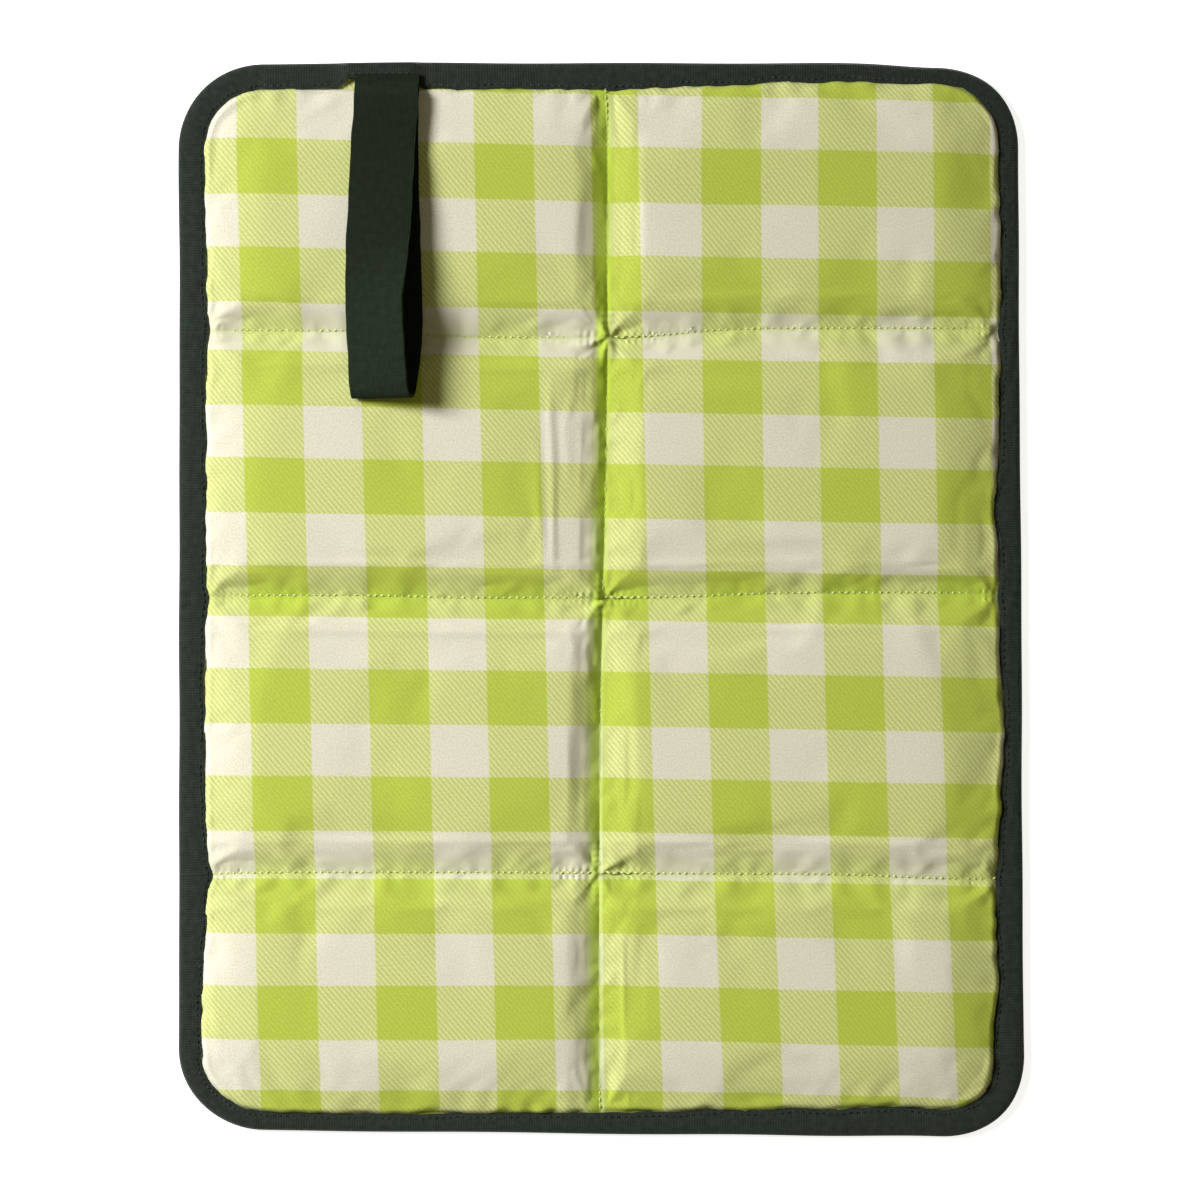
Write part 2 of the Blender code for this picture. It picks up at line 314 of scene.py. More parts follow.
# Where the tape is wider or narrower than usual: (X, Y, reach, change), in mm.
TAPE_CHANGES = (
    (-148, 70, 110, 0.8), (-148, -100, 26, 1.6), (-60, 188, 55, 0.4), (0, 188, 12, 1.2),
    (75, 188, 36, -1.9), (125, 186, 26, -2.0), (148, 110, 60, -2.3), (148, 31, 8, 2.2),
    (148, 0, 12, -1.3), (148, -48, 26, -2.4), (148, -112, 12, 1.6), (148, -158, 13, 2.6),
    (-100, -188, 60, -2.2), (-25, -188, 45, -1.2), (105, -188, 40, 1.5),
)


def tape_width(x, y):
    """Width of the tape's upper wing: uneven, with a notch at the end of every seam."""
    width = TAPE_WIDTH + 0.4 * MM * soft_noise(x, y, 41, 22 * MM)
    width = width + 0.3 * MM * soft_noise(x, y, 42, 9 * MM)
    for middle_x, middle_y, reach, change in TAPE_CHANGES:
        squared = (x - middle_x * MM) ** 2 + (y - middle_y * MM) ** 2
        width = width + change * MM * np.exp(-squared / (reach * MM) ** 2)
    for seam in SEAMS:
        width = width + 1.0 * MM * np.exp(-(((y - seam) / (3.5 * MM)) ** 2)) * (np.abs(x) > 100 * MM)
    return width


def crease(x, y, x0, y0, reach, height):
    """A short soft crease along Y."""
    bend = x - x0 + 0.04 * (y - y0)
    return height * np.exp(-((bend / (1.3 * MM)) ** 2)) * np.exp(-(((y - y0) / reach) ** 4))


def edge_puckers(x, y):
    """Gathers that run in from the tape's stitching."""
    inside = np.maximum(edge_distance(x, y) - tape_width(x, y) + 1 * MM, 0)
    along = np.where(np.abs(x) > HALF_WIDTH - 25 * MM, y, x)
    wave = np.cos(2 * math.pi * along / (9.5 * MM) + 2.5 * soft_noise(x, y, 71, 55 * MM))
    strength = 0.5 + 0.9 * soft_noise(x, y, 72, 40 * MM)
    return 0.34 * MM * wave * np.maximum(strength, 0) * np.exp(-((inside / (5.5 * MM)) ** 2))


def top_height(x, y):
    """Height of the top cover over the floor."""
    across, along = seam_distances(x, y)
    from_tape = edge_distance(x, y) - tape_width(x, y) + 0.4 * MM
    near_tape = 0.3 * shoulder(from_tape, 2.0 * MM, 1.3) + 0.7 * shoulder(from_tape, 30 * MM, 1.5)
    left_side = 0.26 * shoulder(across, 5.0 * MM, 1.1) + 0.74 * shoulder(across, 12 * MM, 1.7)
    beside_fold = np.where(x > 0, shoulder(across, 14 * MM, 1.8), left_side)
    shallower = 0.5 * shoulder(across, 6 * MM) + 0.7 * smoothstep((-40 * MM - y) / (50 * MM))
    seam = SEAM_HEIGHT + near_tape * (1.1 + shallower) * MM
    rise = beside_fold * shoulder(along, 12 * MM, 1.4) * near_tape
    crown = CROWN_HEIGHT - 1.0 * MM * (1 - shoulder(across, 60 * MM) * shoulder(along, 42 * MM))
    crown += 0.24 * MM * soft_noise(x, y, 11, 60 * MM) + 0.1 * MM * soft_noise(x, y, 12, 22 * MM)
    crown += crease(x, y, -18.5 * MM, 42 * MM, 30 * MM, 0.35 * MM)
    crown += crease(x, y, -22.5 * MM, 30 * MM, 16 * MM, 0.22 * MM)
    crown += crease(x, y, 9 * MM, -150 * MM, 34 * MM, 0.18 * MM)
    return seam + (crown - seam) * rise


# The foam's rounded upper edges: distances from a seam and from the pad's edge, and heights.
FOAM_FROM_SEAM = (2.9, 3.6, 5.9, 8.8, 22.3)
FOAM_FROM_EDGE = (10.9, 12.2, 16.0, 21.0, 29.0)
FOAM_HEIGHTS = (2.2, 3.6, 5.0, 6.1, 6.9)


def foam_height(x, y):
    """Height of the foam under the cover, 0 beyond its edges."""
    across, along = seam_distances(x, y)
    from_seam = np.interp(np.minimum(across, along) / MM, FOAM_FROM_SEAM, FOAM_HEIGHTS, left=0)
    from_edge = np.interp(edge_distance(x, y) / MM, FOAM_FROM_EDGE, FOAM_HEIGHTS, left=0)
    return np.minimum(from_seam, from_edge) * MM


# Folds that run out from each crossing of seams: (angle, reach, height, half width), lengths in mm.
# A negative height is a valley.
CROSSING_FOLDS = (
    (
        (114, 8, 2.0, 0.7), (256, 8, 1.6, 0.7), (47, 11, 2.2, 1.0), (22, 14, -1.6, 2.2),
        (196, 16, 2.0, 0.8), (215, 9, -1.3, 1.8), (300, 6, 1.0, 0.9),
    ),
    (
        (146, 8, 2.0, 0.8), (174, 6, 1.2, 0.5), (204, 7, -1.6, 1.2), (238, 8, 1.9, 0.7),
        (46, 12, 2.0, 1.0), (24, 14, -1.7, 2.0), (320, 8, 1.6, 0.8), (342, 6, -1.2, 1.0),
    ),
    (
        (118, 12, -1.5, 1.8), (150, 8, 1.4, 0.8), (34, 16, 2.0, 1.2), (16, 14, -1.6, 2.0),
        (243, 13, -1.8, 1.6), (222, 8, 1.4, 0.8), (302, 12, 1.8, 1.0), (340, 8, -1.2, 1.3),
    ),
)


def pinch(x, y):
    """Folds that radiate from where seams cross, and small ones where a seam meets the tape."""
    total = np.zeros_like(x)
    ends = [(-HALF_WIDTH + TAPE_WIDTH, seam, 22 + 12 * n) for n, seam in enumerate(SEAMS)]
    ends += [(HALF_WIDTH - TAPE_WIDTH, seam, 158 - 12 * n) for n, seam in enumerate(SEAMS)]
    folds = [(x0, y0, angle, 10, 1.8, 0.8) for x0, y0, angle in ends]
    folds += [(x0, y0, -angle, 8, 1.3, 0.8) for x0, y0, angle in ends]
    for seam, group in zip(SEAMS, CROSSING_FOLDS):
        folds += [(0.0, seam, *fold) for fold in group]
    for x0, y0, angle, reach, height, half_width in folds:
        a = math.radians(angle)
        along = (x - x0) * math.cos(a) + (y - y0) * math.sin(a)
        beside = -(x - x0) * math.sin(a) + (y - y0) * math.cos(a)
        beside = beside + 0.5 * MM * soft_noise(x, y, abs(angle), 9 * MM)
        width = half_width * MM + 0.15 * np.maximum(along, 0)
        strength = smoothstep((along + 0.4 * MM) / (2.2 * MM)) * np.exp(-((along / (reach * MM)) ** 2))
        ridge = np.exp(-np.sqrt((beside / width) ** 2 + 0.12) + 0.35)
        total += height * MM * strength * ridge
    return total


def stitch_puckers(x, y):
    """Scallops between the stitches of every seam, and the wider gathers they pull in."""
    across, along = seam_distances(x, y)
    pitch = 2 * math.pi / STITCH_PITCH
    drift = 1.2 * soft_noise(x, y, 23, 12 * MM)
    vary = 0.8 + 0.9 * soft_noise(x, y, 21, 14 * MM)
    beside = lambda d, middle, width: np.exp(-(((d - middle * MM) / (width * MM)) ** 2))
    scallops = np.cos(pitch * x + drift) * beside(along, 1.3, 1.2)
    scallops = 0.26 * scallops + 0.22 * np.cos(pitch * y + drift) * beside(across, 1.2, 1.1)
    gathers = soft_noise(x, 0.35 * y, 24, 8 * MM) * beside(along, 3.8, 3.0)
    gathers = 0.4 * gathers + 0.3 * soft_noise(0.35 * x, y, 25, 8 * MM) * beside(across, 3.4, 2.6)
    return (vary * scallops + gathers) * MM


def axis_points(edges, step=GRID_STEP, crowding=CROWDING):
    """Grid positions with every edge on a grid line, closer together near the edges."""
    points = [edges[0]]
    for low, high in zip(edges, edges[1:]):
        steps = round((high - low) / step)
        t = np.arange(1, steps + 1) / steps
        points += list(low + (high - low) * (t - crowding * np.sin(2 * math.pi * t) / (2 * math.pi)))
    return np.array(points)


def cloth_coordinates(x, y):
    """Where each point lies on the flat cloth, in metres, and how much painted groove shade it gets, 0
    to 1.

    The cloth was sewn on slightly askew and pulled, and the seams take up some of it."""
    across, along = x / HALF_WIDTH, y / HALF_LENGTH
    u = x + 0.0245 * y + np.where(x > 0, 4.9 * MM * smoothstep(x / (2.4 * MM)) + 0.018 * x, 0.0)
    u = u - (0.3 + 2.8 * (along + 0.1) ** 2) * MM * smoothstep(across / 0.3)
    u = u - 0.9 * MM * smoothstep(-across / 0.5) + centre_lean(x, y)
    v = y + 0.0176 * x + seam_bend(x, y)
    skew = np.clip(0.95 + 0.95 * across, 0.1, 1.0)
    v = v + skew * np.minimum(1.0, 3.4 * along - 0.8) * MM
    for seam, taken in zip(SEAMS, (1.8 * MM, 1.5 * MM, 1.3 * MM)):
        v = v + taken * smoothstep((y - seam) / (3 * MM) + 0.5)
    across, along = seam_distances(x, y)
    # Painted shade mask: strongest in the centre seam's groove, weaker along the row seams, where the
    # cloth is tinted for the shade in the grooves.
    groove_shade = np.exp(-(((x + 1.4 * MM) / (2.9 * MM)) ** 2)) * smoothstep((2.2 * MM - x) / (2.4 * MM))
    groove_shade = np.maximum(groove_shade, 0.34 * np.exp(-((along / (1.1 * MM)) ** 2)))
    groove_shade = np.maximum(groove_shade, 0.16 * np.exp(-((along / (5.5 * MM)) ** 4)))
    return np.stack([u, v, groove_shade], axis=-1)


def simulated_offsets(points, rows, columns, pinned, gathered):
    """How far the cover moves as it settles: cloth that is slightly too large for its seams."""
    mesh = bpy.data.meshes.new("settling")
    mesh.from_pydata([tuple(p) for p in points], [], [tuple(f) for f in grid_faces(rows, columns)])
    obj = add_object("settling", mesh)
    group = obj.vertex_groups.new(name="pinned")
    group.add([int(i) for i in np.nonzero(pinned)[0]], 1.0, "REPLACE")
    loose = obj.vertex_groups.new(name="gathered")
    for level in range(1, 11):
        chosen = np.nonzero(np.round(gathered * 10).astype(int) == level)[0]
        loose.add([int(i) for i in chosen], level / 10, "REPLACE")
    cloth = obj.modifiers.new("Cloth", "CLOTH")
    for setting, value in CLOTH_SETTINGS.items():
        setattr(cloth.settings, setting, value)
    cloth.settings.effector_weights.gravity = 0.0
    cloth.point_cache.frame_start = 1
    cloth.point_cache.frame_end = SIM_FRAMES
    scene = bpy.context.scene
    for number in range(1, SIM_FRAMES + 1):
        scene.frame_set(number)
    depsgraph = bpy.context.evaluated_depsgraph_get()
    settled = obj.evaluated_get(depsgraph).to_mesh()
    moved = np.zeros(len(points) * 3)
    settled.vertices.foreach_get("co", moved)
    bpy.data.objects.remove(obj, do_unlink=True)
    scene.frame_set(1)
    return moved.reshape(-1, 3) - points


def settling(xs, ys):
    """How far every point of the grid moves as the cover settles, worked out on a coarser grid."""
    coarse_x = axis_points([xs[0], 0.0, xs[-1]], SETTLING_STEP, SETTLING_CROWDING)
    coarse_y = axis_points([ys[0], *SEAMS[::-1], ys[-1]], SETTLING_STEP, SETTLING_CROWDING)
    x, y = round_corners(*np.meshgrid(coarse_x, coarse_y))
    x, y = x.ravel(), y.ravel()
    points = np.stack([x, y, top_height(x, y)], axis=-1)
    across, along = seam_distances(x, y)
    inside = edge_distance(x, y) - tape_width(x, y)
    pinned = (across < 0.2 * MM) | (along < 0.2 * MM) | (inside < 0)
    nearest = np.min([across, along, np.maximum(inside, 0)], axis=0)
    gathered = np.clip(1 - nearest / GATHERED_REACH, 0, 1)
    offsets = simulated_offsets(points, len(coarse_y), len(coarse_x), pinned, gathered)
    length = np.maximum(np.linalg.norm(offsets, axis=1, keepdims=True), 1e-9)
    offsets *= SETTLING_CAP * np.tanh(length / SETTLING_CAP) / length
    offsets = offsets.reshape(len(coarse_y), len(coarse_x), 3)
    finer = []
    for axis in range(3):
        along_x = np.array([np.interp(xs, coarse_x, line) for line in offsets[:, :, axis]])
        finer.append(np.array([np.interp(ys, coarse_y, line) for line in along_x.T]).T.ravel())
    return np.stack(finer, axis=-1)


def top_cover_grid():
    """The whole top cover: its grid's Y positions, its points, and where they were in plan."""
    reach_x = HALF_WIDTH - COVER_INSET
    reach_y = HALF_LENGTH - COVER_INSET
    xs = axis_points([-reach_x, 0.0, reach_x])
    ys = axis_points([-reach_y, *SEAMS[::-1], reach_y])
    x, y = round_corners(*np.meshgrid(xs, ys))
    x, y = x.ravel(), y.ravel()
    points = np.stack([x, y, top_height(x, y)], axis=-1)
    inside = edge_distance(x, y) - tape_width(x, y)
    points += settling(xs, ys)
    free = smoothstep(inside / (5 * MM))
    points[:, 2] += free * (stitch_puckers(x, y) + pinch(x, y)) + edge_puckers(x, y)
    foam_top = foam_height(points[:, 0], points[:, 1]) + COVER_THICKNESS + 0.1 * MM
    lowest = np.maximum(SEAM_FLOOR, foam_top)
    points[:, 2] = np.where(inside > 0, np.maximum(points[:, 2], lowest), SEAM_HEIGHT)
    below = (COVER_CEILING - points[:, 2]) / CEILING_EASING
    points[:, 2] = COVER_CEILING - CEILING_EASING * np.logaddexp(0, below)
    return ys, points.reshape(len(ys), -1, 3), x.reshape(len(ys), -1), y.reshape(len(ys), -1)


def row_slice(ys, row):
    """Rows of the grid that lie on one row of cushions, both its seams included."""
    low, high = ROW_EDGES[row], ROW_EDGES[row - 1]
    chosen = np.nonzero((ys > low - ROW_TOLERANCE) & (ys < high + ROW_TOLERANCE))[0]
    return slice(chosen[0], chosen[-1] + 1)


def bend_at_centre(obj):
    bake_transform(obj)


def add_top_covers(material):
    ys, points, flat_x, flat_y = top_cover_grid()
    points = real_outline(points)
    for row in ROWS:
        part = row_slice(ys, row)
        name = f"checked_cover_row{row}"
        patch = points[part]
        coordinates = cloth_coordinates(flat_x[part], flat_y[part])
        faces = grid_faces(patch.shape[0], patch.shape[1])
        obj = mesh_object(name, patch, faces, material)
        add_attribute(obj, "on_cloth", coordinates)
        thicken(obj, COVER_THICKNESS)
        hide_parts(f"top_cover_row{row}_left", f"top_cover_row{row}_right")
        bend_at_centre(obj)


def add_seam_bridges(checked, plain, tape):
    """Cloth inside the left column's row seams, seen only when a row is folded over."""
    left, tape_inner = -HALF_WIDTH, -HALF_WIDTH + TAPE_WIDTH
    kinds = (
        # name, material, slot, height, lowest and highest X
        ("top", checked, "checked_cloth", BRIDGE_TOP, tape_inner, -BLEND_HALF_WIDTH),
        ("under", plain, "underside_cloth", BRIDGE_UNDER, tape_inner, -BLEND_HALF_WIDTH),
        ("binding", tape, "edge_tape", BRIDGE_TAPE, left + 0.9 * MM, tape_inner - MM),
    )
    for row in ROWS[:-1]:
        for layer, material, slot, height, low, high in kinds:
            is_top = layer == "top"
            points = bridge_points(ROW_EDGES[row], low, high, height, BRIDGE_RISE if is_top else 0.0)
            x, y = points[..., 0], points[..., 1]
            faces = grid_faces(BRIDGE_ROWS, BRIDGE_COLUMNS)[:, ::-1]
            obj = mesh_object(f"seam_{layer}_row{row}", points, faces, material)
            add_attribute(obj, "on_cloth", cloth_coordinates(x, y))
            add_attribute(obj, "on_tape", points[..., [1, 0, 2]])
            thicken(obj, BRIDGE_THICKNESS, offset=-1.0 if is_top else 1.0)
            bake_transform(obj)


def bridge_points(seam, low, high, height, rise):
    """A flat strip along one seam, wide enough to reach past the seam's bends."""
    x, share = np.meshgrid(np.linspace(low, high, BRIDGE_COLUMNS), np.linspace(0, 1, BRIDGE_ROWS))
    bend = seam_bend(x, np.full_like(x, seam))
    start = seam + BRIDGE_REACH + np.maximum(bend, 0)
    y = start + (seam - BRIDGE_REACH + np.minimum(bend, 0) - start) * share
    return np.stack([x, y, height + rise * smoothstep((x - low) / (20 * MM))], axis=-1)


# ------------------------------ underside


def add_underside(material):
    reach_x = HALF_WIDTH - COVER_INSET
    reach_y = HALF_LENGTH - COVER_INSET
    xs = axis_points([-reach_x, 0.0, reach_x], UNDERSIDE_STEP)
    for row in ROWS:
        low = max(ROW_EDGES[row], -reach_y)
        high = min(ROW_EDGES[row - 1], reach_y)
        ys = axis_points([low, high], UNDERSIDE_STEP)
        x, y = round_corners(*np.meshgrid(xs, ys))
        across, along = seam_distances(x, y)
        from_tape = edge_distance(x, y) - (TAPE_WIDTH + 0.4 * MM)
        fall = shoulder(across, 6 * MM) * shoulder(along, 6 * MM) * shoulder(from_tape, 6 * MM)
        wrinkle = 0.12 * MM * (1 + soft_noise(x, y, 31, 18 * MM)) * (1 - fall * 0.6)
        z = np.maximum(UNDERSIDE_RIM * (1 - fall) + wrinkle * (from_tape > 0), 0.0)
        points = real_outline(np.stack([x, y, z], axis=-1))
        faces = grid_faces(len(ys), len(xs))[:, ::-1]
        obj = mesh_object(f"underside_cloth_row{row}", points, faces, material)
        add_attribute(obj, "on_cloth", points * (1, 1, 0))
        thicken(obj, COVER_THICKNESS)
        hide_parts(f"underside_cover_row{row}_left", f"underside_cover_row{row}_right")
        bend_at_centre(obj)


# ------------------------------ foam


def block_faces(rows, columns):
    """Faces of a block whose top grid is followed by an equal bottom grid."""
    count = rows * columns
    top = grid_faces(rows, columns)
    rim = list(range(columns)) + [r * columns + columns - 1 for r in range(1, rows)]
    rim += [(rows - 1) * columns + c for c in range(columns - 2, -1, -1)]
    rim += [r * columns for r in range(rows - 2, 0, -1)]
    sides = [(b, a, count + a, count + b) for a, b in zip(rim, rim[1:] + rim[:1])]
    return [*top, *(count + top[:, ::-1]), *sides]


def add_foam(material):
    """One foam block in every cushion, under the covers."""
    inset = FOAM_FROM_EDGE[0] * MM
    inside_x, inside_y = HALF_WIDTH - inset, HALF_LENGTH - inset
    gap = FOAM_FROM_SEAM[0] * MM
    for row in ROWS:
        low = max(ROW_EDGES[row] + gap, -inside_y)
        high = min(ROW_EDGES[row - 1] - gap, inside_y)
        for side, column in ((-1, "left"), (1, "right")):
            xs = side * axis_points([gap, inside_x], FOAM_STEP)[::side]
            ys = axis_points([low, high], FOAM_STEP)
            x, y = round_corners(*np.meshgrid(xs, ys))
            top = np.stack([x, y, np.maximum(foam_height(x, y), FOAM_HEIGHTS[0] * MM)], axis=-1)
            bottom = np.stack([x, y, np.full_like(x, FOAM_FLOOR)], axis=-1)
            points = real_outline(np.concatenate([top.reshape(-1, 3), bottom.reshape(-1, 3)]))
            faces = block_faces(len(ys), len(xs))
            obj = mesh_object(f"foam_block_row{row}_{column}", points, faces, material, sharp_angle=40)
            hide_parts(f"foam_pad_row{row}_{column}")
            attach(obj, f"row{row}_{column}")


# ------------------------------ edge tape


def edge_path(side, up, step=2.0 * MM):
    """Points, inward directions and lengths run along a quarter of the edge, from the fold."""
    straight_x = HALF_WIDTH - CORNER_RADIUS
    straight_y = HALF_LENGTH - CORNER_RADIUS
    arc = CORNER_RADIUS * math.pi / 2
    end = straight_x + arc + straight_y
    places = []
    for run in np.linspace(0, end, round(end / step) + 1):
        if run <= straight_x:
            point, inward = (run, HALF_LENGTH), (0, -1)
        elif run <= straight_x + arc:
            angle = math.pi / 2 - (run - straight_x) / CORNER_RADIUS
            point = (
                straight_x + CORNER_RADIUS * math.cos(angle),
                straight_y + CORNER_RADIUS * math.sin(angle),
            )
            inward = (-math.cos(angle), -math.sin(angle))
        else:
            point, inward = (HALF_WIDTH, end - run), (-1, 0)
        places.append((side * point[0], up * point[1], side * inward[0], up * inward[1], run))
    return np.array(places)


def tape_profile():
    """Outer line of the folded tape, as (share of the wing's width, height, is on top)."""
    turn = 0.13
    wing = np.linspace(1.0, turn, 7)
    radius = TAPE_TOP / 2
    bend = np.linspace(-math.pi / 2, math.pi / 2, 9)[1:-1]
    line = [(w, 0.0, 0.0) for w in wing]
    line += [(turn - turn * math.cos(a), radius + radius * math.sin(a), 0.5) for a in bend]
    line += [(w, TAPE_TOP, 1.0) for w in wing[::-1]]
    return np.array(line)


def strap_presence(x, y):
    """1 where the strap passes under the tape, 0 away from it."""
    off = np.abs(x - STRAP_X) - STRAP_WIDTH / 2
    return np.where(y > HALF_LENGTH - 30 * MM, 1 - smoothstep((off - 0.3 * MM) / (4 * MM)), 0.0)


def tape_points(path):
    """The tape's sheet along part of the edge."""
    profile = tape_profile()
    x, y, inward_x, inward_y, run = (column[:, None] for column in path.T)
    share, height, top = (column[None, :] for column in profile.T)
    strap, is_top = strap_presence(x, y), top == 1
    change = tape_width(x, y) - TAPE_WIDTH
    width = TAPE_WIDTH + (change * (1 - strap) - TAPE_SHORTER_AT_STRAP * strap) * is_top
    inset = share * width
    pucker = 0.16 * MM * np.cos(2 * math.pi * run / STITCH_PITCH)
    pucker = pucker * np.exp(-(((share - 0.84) / 0.1) ** 2))
    ripple = 0.18 * MM * soft_noise(x + 3 * inset, y + 3 * inset, 43, 14 * MM) * (share > 0.2)
    belly = 0.35 * MM * np.sin(np.pi * np.clip(share, 0, 1)) * is_top
    z = height + (pucker + ripple + belly + TAPE_LIFT_AT_STRAP * strap) * is_top
    z = z + TAPE_LIFT_AT_STRAP * strap * 0.5 * (top == 0.5)
    points = np.stack([x + inset * inward_x, y + inset * inward_y, z], axis=-1)
    sideways = np.diff(profile[:, 0], prepend=1.0) * TAPE_WIDTH
    upwards = np.diff(profile[:, 1], prepend=0.0)
    girth = np.cumsum(np.hypot(sideways, upwards))[None, :]
    return points, np.stack(np.broadcast_arrays(run, girth, np.zeros_like(z)), axis=-1)


def add_tape_piece(name, path, material, nodes):
    points, coordinates = tape_points(path)
    points = real_outline(points)
    faces = grid_faces(points.shape[0], points.shape[1])
    turn = path[0][0] * path[-1][1] - path[0][1] * path[-1][0]
    if turn > 0:
        faces = faces[:, ::-1]
    obj = mesh_object(name, points, faces, material)
    add_attribute(obj, "on_tape", coordinates)
    thicken(obj, TAPE_THICKNESS)
    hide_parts(*nodes)
    return obj


def cut_path(path, low, high):
    """The part of an edge path between two heights in Y, ending exactly on them."""
    result = []
    for value in (high, low):
        for a, b in zip(path, path[1:]):
            if min(a[1], b[1]) + 1e-9 < value < max(a[1], b[1]) - 1e-9:
                result.append(a + (b - a) * (value - a[1]) / (b[1] - a[1]))
    inside = (path[:, 1] >= low - 1e-9) & (path[:, 1] <= high + 1e-9)
    inner = list(path[inside]) + result
    inner.sort(key=lambda p: p[4])
    return np.array(inner)


def add_tape(material):
    for row in ROWS:
        high, low = ROW_EDGES[row - 1], ROW_EDGES[row]
        up = 1 if (high + low) > 0 else -1
        paths = {}
        for side, column in ((-1, "left"), (1, "right")):
            paths[column] = cut_path(edge_path(side, up), low, high)
        if row in (1, 4):
            whole = np.concatenate([paths["left"][::-1], paths["right"][1:]])
            whole[:, 4] = np.concatenate([-paths["left"][::-1, 4], paths["right"][1:, 4]])
            nodes = [f"edge_tape_row{row}_left", f"edge_tape_row{row}_right"]
            obj = add_tape_piece(f"binding_row{row}", whole, material, nodes)
            bend_at_centre(obj)
            continue
        for column, path in paths.items():
            obj = add_tape_piece(
                f"binding_row{row}_{column}", path, material, [f"edge_tape_row{row}_{column}"]
            )
            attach(obj, f"row{row}_{column}")


# ------------------------------ stitches


def stitch_line(name, points, material, radius=0.24 * MM, gap=0.18, sink=0.25 * MM):
    """A row of stitches: each is a short arched length of thread between two needle holes."""
    vertices, faces = [], []
    sides, stations = 6, 5
    points = real_outline(np.array(points, float))
    up = Vector((0, 0, 1))
    for start, end in zip(points, points[1:]):
        start, end = Vector(start), Vector(end)
        direction = (end - start).normalized()
        across = direction.cross(up).normalized()
        base = len(vertices)
        for s in range(stations):
            t = s / (stations - 1)
            place = start.lerp(end, gap / 2 + (1 - gap) * t)
            rise = math.sin(math.pi * t)
            place = place + up * (rise * radius * 1.2 - (1 - rise) * sink)
            thick = radius * (0.6 + 0.4 * rise)
            for k in range(sides):
                angle = 2 * math.pi * k / sides
                vertices.append(place + (across * math.cos(angle) + up * math.sin(angle)) * thick)
        faces += [tuple(base + i for i in quad) for quad in grid_faces(stations, sides, closed=True)]
        faces.append(tuple(base + k for k in range(sides)))
        faces.append(tuple(base + (stations - 1) * sides + k for k in reversed(range(sides))))
    return mesh_object(name, vertices, faces, material, sharp_angle=40)


def add_seam_stitches(material):
    for row in ROWS:
        low = ROW_EDGES[row] + (TAPE_WIDTH if row == 4 else 0)
        high = ROW_EDGES[row - 1] - (TAPE_WIDTH if row == 1 else 0)
        count = round((high - low) / STITCH_PITCH)
        points = [(0, low + (high - low) * i / count, SEAM_THREAD_HEIGHT) for i in range(count + 1)]
        obj = stitch_line(f"centre_stitches_row{row}", points, material)
        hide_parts(f"centre_seam_stitching_row{row}_left")
        bend_at_centre(obj)
        if row == 4:
            continue
        y = ROW_EDGES[row] + SEAM_THREAD_SHIFT
        reach = HALF_WIDTH - TAPE_WIDTH
        count = 2 * round(reach / STITCH_PITCH)
        xs = -reach + 2 * reach * np.arange(count + 1) / count
        heights = top_height(xs, np.full_like(xs, ROW_EDGES[row])) - SEAM_THREAD_SINK
        zigzag = SEAM_ZIGZAG * (-1) ** np.arange(count + 1)
        points = list(zip(xs, y + zigzag, heights))
        obj = stitch_line(f"seam_stitches_row{row}", points, material, radius=0.37 * MM, gap=0.08)
        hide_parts(f"row_seam_stitching_row{row}_left", f"row_seam_stitching_row{row}_right")
        bend_at_centre(obj)


def add_tape_stitches(material):
    for row in ROWS:
        high, low = ROW_EDGES[row - 1], ROW_EDGES[row]
        up = 1 if (high + low) > 0 else -1
        for side, column in ((-1, "left"), (1, "right")):
            path = cut_path(edge_path(side, up, STITCH_PITCH), low, high)
            points = []
            for x, y, inward_x, inward_y, _ in path:
                strap = float(strap_presence(np.array(x), np.array(y)))
                width = float(tape_width(np.array(x), np.array(y)))
                width += (TAPE_WIDTH - TAPE_SHORTER_AT_STRAP - width) * strap
                inset = width - TAPE_SEAM_INSET
                height = TAPE_TOP + TAPE_LIFT_AT_STRAP * strap + 0.2 * MM
                points.append((x + inset * inward_x, y + inset * inward_y, height))
            name = f"binding_stitches_row{row}_{column}"
            obj = stitch_line(name, points, material, radius=0.2 * MM)
            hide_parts(f"tape_stitching_row{row}_{column}")
            if row in (1, 4):
                bend_at_centre(obj)
            else:
                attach(obj, f"row{row}_{column}")


# ------------------------------ strap


def catmull(points, spacing):
    """A smooth line through the points, sampled at about one spacing."""
    points = [2 * points[0] - points[1], *points, 2 * points[-1] - points[-2]]
    line = []
    for a, b, c, d in zip(points, points[1:], points[2:], points[3:]):
        steps = max(2, round(np.linalg.norm(c - b) / spacing))
        for i in range(steps):
            t = i / steps
            line.append(
                0.5 * (2 * b + (c - a) * t + (2 * a - 5 * b + 4 * c - d) * t**2
                       + (3 * b - a - 3 * c + d) * t**3)
            )
    line.append(points[-2])
    return np.array(line)


STRAP_SHAPE = (
    # (sideways shift, Y, Z) of the middle line, lower strand first
    (2.2, 186.0, 3.3), (2.2, 183.0, 3.4), (2.2, 180.4, 5.4), (2.2, 177.0, 8.2), (2.2, 173.0, 9.2),
    (2.4, 150.0, 9.25), (3.0, 125.0, 9.2), (3.7, 102.0, 9.2), (3.3, 88.0, 9.2),
    (2.2, 78.5, 9.6), (1.4, 73.4, 11.2), (0.8, 71.4, 13.2), (0.4, 72.6, 15.0), (-0.2, 78.0, 16.0),
    (-1.2, 92.0, 16.0), (-1.6, 106.0, 15.6), (-0.6, 122.0, 15.4), (0.4, 140.0, 14.2),
    (1.4, 163.0, 11.8), (2.0, 174.0, 10.5), (2.1, 178.7, 9.0), (2.2, 181.6, 6.4),
    (2.2, 183.4, 5.0), (2.2, 186.0, 4.6),
)
STRAP_TWIST = (
    # (Y of the upper strand, how far its left edge turns down)
    (71, 0.40), (85, 0.45), (106, 0.44), (116, 0.3), (128, 0.08), (145, 0.04), (190, 0.0),
)


